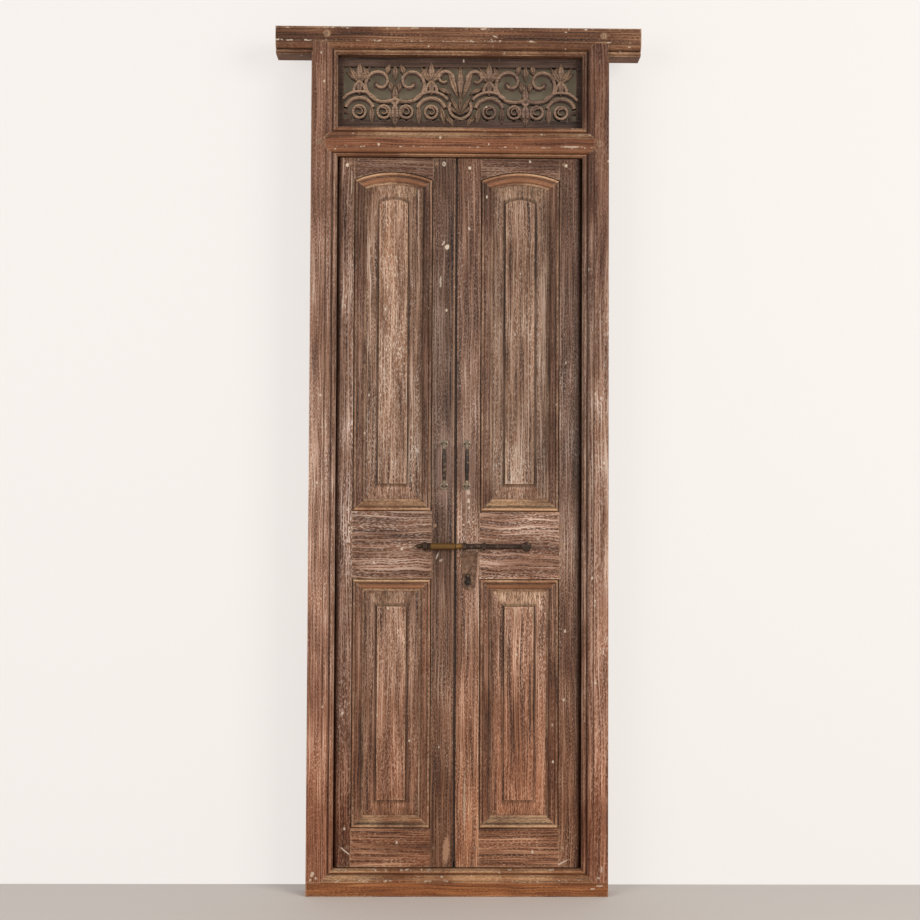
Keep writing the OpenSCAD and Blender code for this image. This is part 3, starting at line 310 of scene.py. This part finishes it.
# Dark, middle and pale tones of the woods
HEAD = ("200e06", "5c3620", "a98a6c")
FRAME = ("4a2414", "a67459", "efe2da")
LEAF = ("2a1208", "8e6045", "ecdfd2")
PANEL = ("361a0d", "9c6e52", "f0e4d7")
CARVED = ("35211a", "a47f6d", "cfb7a8")
PEG = ("4e3526", "8d6d55", "bca48d")
WORN = "d4ad88"
CHIP = "d6c4ae"
# Pale dust, also painted light on what faces up
DUST_AND_TOP_LIGHT = "d4ae84"
BARE = "b48a6c"
# Warm orange of painted light on what faces down
UNDERSIDE_LIGHT_TONE = "b47c58"
RUBBED = "a08070"
# Painted shade by the gaps beside the stiles
EDGE_SHADE = "1a0b05"
IRON = ("33231a", "7a604e")
BRASS = "8c662f"
# How light a piece is against its tones: partly its own tone, partly painted light and shade where it stands lit,
# shaded or with a sheen
TONE_AND_PAINTED_LIGHT = {
    "head_beam": 1.2, "sill": 1.12, "left_jamb": 1.56, "right_jamb": 1.36,
    "left_meeting_stile": 0.76, "left_hanging_stile": 1.75, "right_meeting_stile": 1.3, "right_hanging_stile": 0.9,
    "left_upper_panel": 1.42, "right_upper_panel": 1.12, "left_lower_panel": 1.06, "right_lower_panel": 1.5,
    "left_lock_rail": 1.2, "right_lock_rail": 1.46, "left_bottom_rail": 1.15, "right_bottom_rail": 1.15,
    "carving_relief": 0.62, "carved_panel": 0.76,
}
# Tints at the foot, the middle and the top of the door
JAMB_TINTS = ((0.64, 0.48, 0.36), (0.86, 0.98, 1.0), (0.36, 0.3, 0.25))
LYING_TINTS = ((0.8, 0.56, 0.28), (0.9, 0.9, 0.9), (0.6, 0.44, 0.3))
LEAF_TINTS = ((1.0, 0.8, 0.62), (0.86, 0.92, 0.97), (0.6, 0.53, 0.48))
SHEEN_TINTS = ((0.36, 0.24, 0.17), (0.82, 0.92, 1.0), (0.38, 0.33, 0.29))
UPRIGHT_STRIP_TINTS = ((0.88, 0.66, 0.5), (0.84, 0.8, 0.78), (0.6, 0.52, 0.46))
STRIP_TINTS = ((1.0, 0.7, 0.46), (0.95, 0.72, 0.52), (0.78, 0.62, 0.5))
PANEL_TINTS = ((0.96, 0.75, 0.61), (0.9, 0.98, 1.0), (0.84, 0.84, 0.8))
# Depths for in_relief, from the CAD's own places
FRAME_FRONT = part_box("left_jamb")[0].y / MM
STRIP_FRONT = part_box("left_upper_top_moulding")[0].y / MM
STRIP_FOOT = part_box("left_upper_top_moulding")[1].y / MM
FIELD_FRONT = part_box("left_upper_panel")[0].y / MM
board_low, board_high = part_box("carved_panel")
BOARD_FRONT = board_low.y / MM
RISE = 4
# The head's moulding gets lighter towards its foot, where it faces down: painted light.
HEAD_DEPTH = (FRAME_FRONT, FRAME_FRONT + 17, 1.3, 0.0, FRAME_FRONT + 1.5)
FRAME_DEPTH = (FRAME_FRONT, FRAME_FRONT + 17, 0.78, 0.0, FRAME_FRONT + 1.5)
STRIP_DEPTH = (STRIP_FRONT, STRIP_FOOT - 3, 0.8, 0.2, STRIP_FOOT - 4)
LYING_STRIP_DEPTH = (STRIP_FRONT, STRIP_FOOT - 3, 0.8, 0.7, STRIP_FRONT + 4.5)
PANEL_DEPTH = (FIELD_FRONT, FIELD_FRONT + 8, 0.76, 0.0, FIELD_FRONT + 3.2)
CARVED_DEPTH = (BOARD_FRONT - RISE, BOARD_FRONT, 0.75, 0.1, BOARD_FRONT)
LONG = ("head_beam", "transom_rail", "sill", "carved_panel")
LYING = ("top_rail", "lock_rail", "bottom_rail", "top_moulding", "bottom_moulding")
# Chips and scratches at the places where the photograph has them, as marked takes them
MARKS = {
    "left_hanging_stile": [(-321, 2060, 5, 6, 0, CHIP, 0.9), (-308, 2010, 1.5, 40, 0, CHIP, 0.6),
                           (-315, 120, 2, 24, -52, CHIP, 0.75)],
    "left_meeting_stile": [(-46, 2065, 6, 7, 0, CHIP, 0.8), (-46, 2065, 2.5, 3, 0, HEAD[0], 0.9),
                           (-36, 1827, 7, 8, 0, CHIP, 0.85), (-46, 1838, 3, 9, 30, CHIP, 0.6),
                           (-54, 1727, 3, 20, 0, CHIP, 0.55), (-12, 1350, 6, 900, 0, BARE, 0.5),
                           (-31, 122, 11, 44, 4, BARE, 0.7),
                           (-60, 948, 2.5, 12, 20, CHIP, 0.5), (-49, 936, 4, 7, 50, CHIP, 0.4)],
    "right_meeting_stile": [(28, 2054, 5, 6, 0, CHIP, 0.8), (27, 1130, 6, 9, 0, CHIP, 0.6),
                            (28, 1104, 4, 7, 0, CHIP, 0.75), (29, 1086, 4, 5, 0, CHIP, 0.65),
                            (30, 1045, 3, 4, 0, CHIP, 0.7), (20, 250, 3, 90, 0, CHIP, 0.35)],
    "right_hanging_stile": [(303, 2062, 5, 6, 0, CHIP, 0.8), (292, 86, 2.5, 26, 62, CHIP, 0.75)],
    "right_upper_meeting_moulding": [(77, 1971, 4, 6, 0, CHIP, 0.8)],
    "transom_rail": [(317, 2110, 34, 2.5, 0, CHIP, 0.6)],
    "head_beam": [(x, z, 0.7 * w, 2, turn, CHIP, 0.6) for x, z, w, turn in (
        (97, 2424, 12, 20), (112, 2412, 7, 0), (88, 2414, 5, 30), (300, 2438, 7, 0), (480, 2398, 9, 10))],
    "sill": [(400, 30, 12, 2.2, 0, CHIP, 0.6), (380, 22, 7, 2.2, 0, CHIP, 0.6)],
    "left_jamb": [(-404, 62, 5, 8, 20, CHIP, 0.7), (-394, 50, 4, 5, 0, CHIP, 0.6), (-410, 46, 4, 4, 0, CHIP, 0.6)],
    "right_jamb": [(404, 76, 3, 12, 0, CHIP, 0.5), (396, 52, 5, 4, 0, CHIP, 0.5), (408, 680, 3, 8, 0, CHIP, 0.6)],
}
# Side of the box, half width in mm and strength of the painted shade down a stile, by the gap beside it
SHADED_EDGES = {"left_meeting_stile": (1, 3.6, 1.0), "right_meeting_stile": (0, 3.6, 1.0),
         "left_hanging_stile": (0, 9, 0.6), "right_hanging_stile": (1, 24, 0.55)}
# Heights in mm of the chipped arrises
CHIPS = {"sill": (43, 70), "transom_rail": (2107, 2146), "head_beam": (2410, 2446)}
RUB_HALF_W = 26
RUB_REACH = 0.9
RUB_STRENGTH = 0.4


def shade_along(name):
    """Painted shade down one edge of a stile, by the gap beside it: which side of its box, half width and strength.
    """
    side, half_w, strength = SHADED_EDGES[name]
    low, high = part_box(name)
    return ((low, high)[side].x / MM, (low.z + high.z) / 2 / MM, half_w, (high.z - low.z) / MM, 0, EDGE_SHADE, strength)


def rubbed_round(handle):
    """The paler wood that hands have rubbed round a pull handle."""
    low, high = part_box(handle)
    middle = (low + high) / 2 / MM
    return (middle.x, middle.z, RUB_HALF_W, RUB_REACH * (high.z - low.z) / MM, 0, RUBBED, RUB_STRENGTH)


def finish_of(name):
    """The material of one CAD node."""
    along = "x" if name in LONG or name.endswith(LYING) else "z"
    # Painted shade down the stiles' edges joins the chips and scratches.
    marks = MARKS.get(name, []) + ([shade_along(name)] if name in SHADED_EDGES else [])
    if name.endswith("meeting_stile"):
        marks = [rubbed_round(name.replace("meeting_stile", "pull_handle"))] + marks
    if name == "head_beam":
        return wood(name, HEAD, along, lime=0.6, depth=HEAD_DEPTH, edge=0.7, marks=marks, chips=CHIPS[name],
                    underside_light=0.15)
    if name in ("left_jamb", "right_jamb"):
        return wood(name, FRAME, along, lime=0.75, tints=JAMB_TINTS, depth=FRAME_DEPTH, marks=marks)
    if name in ("transom_rail", "sill"):
        return wood(name, FRAME, along, lime=0.35, tints=LYING_TINTS, depth=FRAME_DEPTH, edge=0.6, marks=marks,
                    chips=CHIPS[name])
    if name == "carved_panel":
        return wood(name, CARVED, along, lime=0.35, depth=CARVED_DEPTH, dirt_and_corner_shade=0.85, edge=0.15, underside_light=0.0)
    if name.endswith("_pegs"):
        return wood(name, PEG, along, lime=0.3)
    if name.endswith("_panel"):
        return wood(name, PANEL, along, lime=0.75, tints=PANEL_TINTS, depth=PANEL_DEPTH, dirt_and_corner_shade=0.6, reach=0.006,
                    edge=0.7, underside_light=0.3)
    if name.endswith("_moulding"):
        tints, depth = (STRIP_TINTS, LYING_STRIP_DEPTH) if along == "x" else (UPRIGHT_STRIP_TINTS, STRIP_DEPTH)
        edge = 0.6 if along == "x" else 0.3
        return wood(name, LEAF, along, lime=0.6, tints=tints, depth=depth, dirt_and_corner_shade=0.5, edge=edge, marks=marks)
    if name in ("bolt_keeper", "lock_bolt"):
        return metal(name, "2c1c0b", BRASS, rough=0.34, amount=0.1)
    if name == "escutcheon":
        return metal(name, "553a29", "a07d64", rough=0.5, amount=0.2, edge=0.0)
    if name == "keyhole_cover":
        return metal(name, "1e130c", "6a5443", rough=0.4, amount=0.1, edge=0.0)
    if name.endswith("pull_handle"):
        # The pull handles' ends take a paler tone of their own, also a painted highlight.
        return metal(name, "180c06", "b89470", rough=0.24, amount=0.1, part=("Z", HANDLE_MID, 44, 54, "b09e86"))
    if name == "slide_bolt":
        return metal(name, *IRON, rough=0.42, amount=0.08, part=("X", BOLT_TIP, 28, 26, BRASS))
    if slot_of[name] == "iron":
        return metal(name, *IRON, rough=0.46, amount=0.08)
    # The left hanging stile takes a painted sheen in its middle.
    tints = SHEEN_TINTS if name == "left_hanging_stile" else LEAF_TINTS
    sway = CURLY if name.endswith("lock_rail") else WAVY
    return wood(name, LEAF, along, lime=0.7, tints=tints, marks=marks, sway=sway)


handle_low, handle_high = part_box("left_pull_handle")
HANDLE_MID = (handle_low.z + handle_high.z) / 2 / MM
BOLT_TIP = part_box("slide_bolt")[0].x / MM
SHARP_ANGLE = math.radians(27)
WORN_EDGE = 1.4 * MM
WORN_ANGLE = math.radians(48)
for name in sorted(nodes):
    piece = nodes[name]
    piece.data.materials.clear()
    piece.data.materials.append(finish_of(name))
    piece.data.polygons.foreach_set("use_smooth", [True] * len(piece.data.polygons))
    piece.data.set_sharp_from_angle(angle=SHARP_ANGLE)
    if slot_of[name].endswith("_wood") and name != "carved_panel":
        worn = piece.modifiers.new("worn_edges", "BEVEL")
        worn.width = WORN_EDGE
        worn.segments = 2
        worn.limit_method = "ANGLE"
        worn.angle_limit = WORN_ANGLE

# Carving in relief: rounded stems and veined leaves on the pierced panel, in mm from its middle and lower edge
STEM_W = 12
COVER = 0.86
SINK = 0.5
RELIEF_SHARP = math.radians(60)
BELLY = 0.45
LEAF_FOOT = 2
LEAF_TIP = 0.6
ROUND = ((-1, 0), (-0.8, 0.78), (0, 1), (0.8, 0.78), (1, 0))
VEINED = ((-1, 0), (-0.5, 1), (0, 0.35), (0.5, 1), (1, 0))
board_mid = (board_low.x + board_high.x) / 2
BORDERS = 26
SCROLL_DROP = 45
PANEL_TOP = (board_high.z - board_low.z) / MM - BORDERS
PAIR_X = 187
SCROLL_Z = PANEL_TOP - SCROLL_DROP
RING_Z = 50
RING_PLACES = (83, 155, 219, 289)
RING_MID_R = 17.8
RING_STEM = 0.7
# Stems: x, z, radii, angles and shares of STEM_W at both ends. Leaves: x, z, length, width and angle
PAIR_STEMS = ((43, SCROLL_Z, (66, 12), (-137, 333), (1, 0.75)), (34, 46, (42, 40), (112, 196), (0.9, 0.9)))
BUD_STEMS = ((-20, SCROLL_Z - 26, (36, 34), (0, 58), (0.9, 0.7)), (0, RING_Z, (41, 40), (18, 94), (1, 0.9)),
             (0, RING_Z + 4, (57, 54), (34, 94), (0.75, 0.7)))
PALM_STEMS = ((0, 66, (36, 30), (-92, 24), (0.8, 0.8)), (46, SCROLL_Z + 12, (28, 10), (200, -130), (0.9, 0.6)))
CURL = ((13, 5), (60, 330), (0.4, 0.35))
PAIR_LEAVES = ((73, SCROLL_Z + 8, 44, 20, 62), (27, SCROLL_Z + 22, 36, 18, 112), (10, SCROLL_Z - 26, 32, 18, 80),
               (6, 26, 58, 15, 62))
PAIR_AXIS = ((0, 68, 66, 24, 90), (0, PANEL_TOP - 36, 42, 20, 90), (0, 8, 40, 22, 90))
BUD_LEAVES = ((0, SCROLL_Z - 4, 58, 22, 58), (0, SCROLL_Z + 2, 48, 16, 36))
BUD_AXIS = ((0, SCROLL_Z - 36, 52, 24, 90), (0, SCROLL_Z, 60, 26, 90))
PALM_LEAVES = ((0, 44, 66, 13, 32), (0, 44, 68, 13, 60), (8, 96, 84, 22, 70), (18, 16, 40, 15, 38),
               (28, 104, 46, 15, 24))
PALM_AXIS = ((0, 44, 66, 13, 90), (0, 92, PANEL_TOP - 84, 26, 90))
ROW_LEAVES = ((46, 14, 60, 20, 80), (20, 10, 40, 16, 62))
BETWEEN_RINGS = (14, 62, 20, 90)
carving = bmesh.new()


def loft(sections, across):
    """Joins closed cross-sections of x, z and height over the board into one closed form."""
    loops = [[carving.verts.new((board_mid + across(x) * MM, board_low.y + (SINK - rise) * MM, board_low.z + z * MM))
              for x, z, rise in section] for section in sections]
    for first, second in zip(loops, loops[1:]):
        for i in range(len(first)):
            j = (i + 1) % len(first)
            carving.faces.new((first[i], first[j], second[j], second[i]))
    carving.faces.new(loops[0])
    carving.faces.new(loops[-1])


def stem(across, x, z, radii, angles, widths):
    """A half-round stem along a spiral."""
    steps = math.ceil(abs(angles[1] - angles[0]) / 10)
    sections = []
    for i in range(steps + 1):
        t = i / steps
        radius = radii[0] * (radii[1] / radii[0]) ** t
        half = COVER * STEM_W / 2 * (widths[0] + (widths[1] - widths[0]) * t)
        angle = math.radians(angles[0] + (angles[1] - angles[0]) * t)
        sections.append([(x + (radius + half * side) * math.cos(angle), z + (radius + half * side) * math.sin(angle),
                          RISE * rise) for side, rise in ROUND])
    loft(sections, across)


def leaf(across, x, z, length, width, angle):
    """A pointed leaf with a sunk midrib."""
    turn = Matrix.Rotation(math.radians(angle), 2)
    sections = []
    for t in (0, 0.12, 0.28, BELLY, 0.62, 0.78, 0.92, 1):
        half = LEAF_FOOT + (width / 2 - LEAF_FOOT) * t / BELLY if t < BELLY else width / 2 * (1 - t) / (1 - BELLY)
        half = max(COVER * half, LEAF_TIP)
        tall = RISE * min(1, half / 4)
        points = [(turn @ Vector((length * t, half * side)), tall * rise) for side, rise in VEINED]
        sections.append([(x + p.x, z + p.y, rise) for p, rise in points])
    loft(sections, across)


def both_ways(axis, stems, leaves, axis_leaves=()):
    """The same work to both sides of an axis, and of the same axis in the other half of the panel."""
    for half in ((1, -1) if axis else (1,)):
        for flip in (1, -1):
            def across(x):
                return half * (axis + flip * x)
            for row in stems:
                stem(across, *row)
            for row in leaves:
                leaf(across, *row)
        for row in axis_leaves:
            leaf(across, *row)


both_ways(PAIR_X, PAIR_STEMS, PAIR_LEAVES, PAIR_AXIS)
for ring_x in (RING_PLACES[0], RING_PLACES[-1]):
    both_ways(ring_x, BUD_STEMS, BUD_LEAVES, BUD_AXIS)
both_ways(0, PALM_STEMS, PALM_LEAVES, PALM_AXIS)
both_ways(0, [(x, RING_Z, *CURL) for x in RING_PLACES], ROW_LEAVES)
both_ways(0, [(x, RING_Z, (RING_MID_R, RING_MID_R), (0, 359), (RING_STEM, RING_STEM)) for x in RING_PLACES],
          [((a + b) / 2, *BETWEEN_RINGS) for a, b in zip(RING_PLACES, RING_PLACES[1:])])
bmesh.ops.recalc_face_normals(carving, faces=carving.faces)
relief_mesh = bpy.data.meshes.new("carving_relief")
carving.to_mesh(relief_mesh)
carving.free()
relief_mesh.polygons.foreach_set("use_smooth", [True] * len(relief_mesh.polygons))
relief_mesh.set_sharp_from_angle(angle=RELIEF_SHARP)
relief_mesh.materials.append(wood("carving_relief", CARVED, "x", lime=0.35, depth=CARVED_DEPTH, dirt_and_corner_shade=0.85, edge=0.2,
                                  underside_light=0.0))
relief = bpy.data.objects.new("carving_relief", relief_mesh)
bpy.context.scene.collection.objects.link(relief)
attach(relief, "frame")


# Stage
def plane(name, corners, colour):
    """A plain pale plane."""
    mesh = bpy.data.meshes.new(name)
    mesh.from_pydata(corners, [], [range(len(corners))])
    piece = bpy.data.objects.new(name, mesh)
    bpy.context.scene.collection.objects.link(piece)
    t = Tree(name)
    t.put(t.shader.inputs["Base Color"], shade(colour))
    t.put(t.shader.inputs["Roughness"], 0.85)
    mesh.materials.append(t.material)
    return piece, t


def backdrop(name, x, z, y, colour, glow, shaded=False):
    """An upright plane seen from the front only, evenly bright save where the door shades it."""
    corners = [(x[0], y, z[0]), (x[1], y, z[0]), (x[1], y, z[1]), (x[0], y, z[1])]
    piece, t = plane(name, corners, colour)
    piece.visible_diffuse = False
    piece.visible_shadow = False
    if shaded:
        place = t.add("ShaderNodeSeparateXYZ", {0: t.coords}).outputs
        aside = t.span(t.math("ABSOLUTE", place["X"]), jamb_side - INSET, jamb_side)
        glow = t.times(t.math("MAXIMUM", aside, t.span(place["Z"], board_low.z - INSET, board_low.z)), glow)
    even = t.add("ShaderNodeEmission", {"Color": shade(colour), "Strength": 1.0}).outputs[0]
    front = t.add("ShaderNodeMixShader", {0: glow, 1: t.shader.outputs[0], 2: even}).outputs[0]
    behind = t.add("ShaderNodeNewGeometry").outputs["Backfacing"]
    clear = t.add("ShaderNodeBsdfTransparent").outputs[0]
    both = t.add("ShaderNodeMixShader", {0: behind, 1: front, 2: clear}).outputs[0]
    t.put(t.tree.nodes["Material Output"].inputs["Surface"], both)


FLOOR_Z = -0.5 * MM
WALL_Y = cad_box[1][1] + 60 * MM
SHADED_Y = cad_box[1][1] + 1 * MM
REACH = 6.0
INSET = 20 * MM
jamb_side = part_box("right_jamb")[0].x
plane("floor", [(x, y, FLOOR_Z) for x, y in ((-REACH, -REACH), (REACH, -REACH), (REACH, REACH), (-REACH, REACH))],
      "d9d0c8")
backdrop("wall", (-REACH, REACH), (FLOOR_Z, REACH), WALL_Y, "f5f0ec", glow=0.75, shaded=True)
# A darker sheet behind the pierced carving: painted shade for the wall that the door shades.
backdrop("shade_behind_carving", (board_low.x, board_high.x), (board_low.z, board_high.z), SHADED_Y, "857a66",
         glow=0.3)


def lamp(name, place, target, size, power, colour=(1, 1, 1)):
    light = bpy.data.lights.new(name, "AREA")
    light.energy = power
    light.size = size
    light.color = colour
    piece = bpy.data.objects.new(name, light)
    piece.location = place
    piece.rotation_euler = (Vector(target) - Vector(place)).to_track_quat("-Z", "Y").to_euler()
    bpy.context.scene.collection.objects.link(piece)


MIDDLE = (0, 0, 1.3)
WORLD_LIGHT = 0.45
lamp("key", (4.2, -4.4, 2.9), MIDDLE, size=3.0, power=225, colour=(1.0, 0.98, 0.95))
lamp("fill", (-3.0, -3.6, 2.2), MIDDLE, size=2.6, power=75)
world = bpy.data.worlds.new("studio")
world.use_nodes = True
world.node_tree.nodes["Background"].inputs[0].default_value = (1, 1, 1, 1)
world.node_tree.nodes["Background"].inputs[1].default_value = WORLD_LIGHT
bpy.context.scene.world = world
bpy.context.scene.view_settings.view_transform = "Standard"

# Camera, as fitted to the door's outline in the photograph
CAMERA_AT = Vector((-0.0534, -4.24, 1.0872))
YAW = math.radians(0.773)
PITCH = math.radians(1.803)
ROLL = math.radians(0.25)
LENS = 58.39
forward = Vector((math.sin(YAW) * math.cos(PITCH), math.cos(YAW) * math.cos(PITCH), math.sin(PITCH)))
level = forward.cross(Vector((0, 0, 1))).normalized()
upright = level.cross(forward)
right = math.cos(ROLL) * level + math.sin(ROLL) * upright
up = math.cos(ROLL) * upright - math.sin(ROLL) * level
lens = bpy.data.cameras.new("camera")
lens.lens = LENS
lens.sensor_width = 36.0
camera = bpy.data.objects.new("camera", lens)
camera.matrix_world = Matrix.Translation(CAMERA_AT) @ Matrix((right, up, -forward)).transposed().to_4x4()
bpy.context.scene.collection.objects.link(camera)
bpy.context.scene.camera = camera
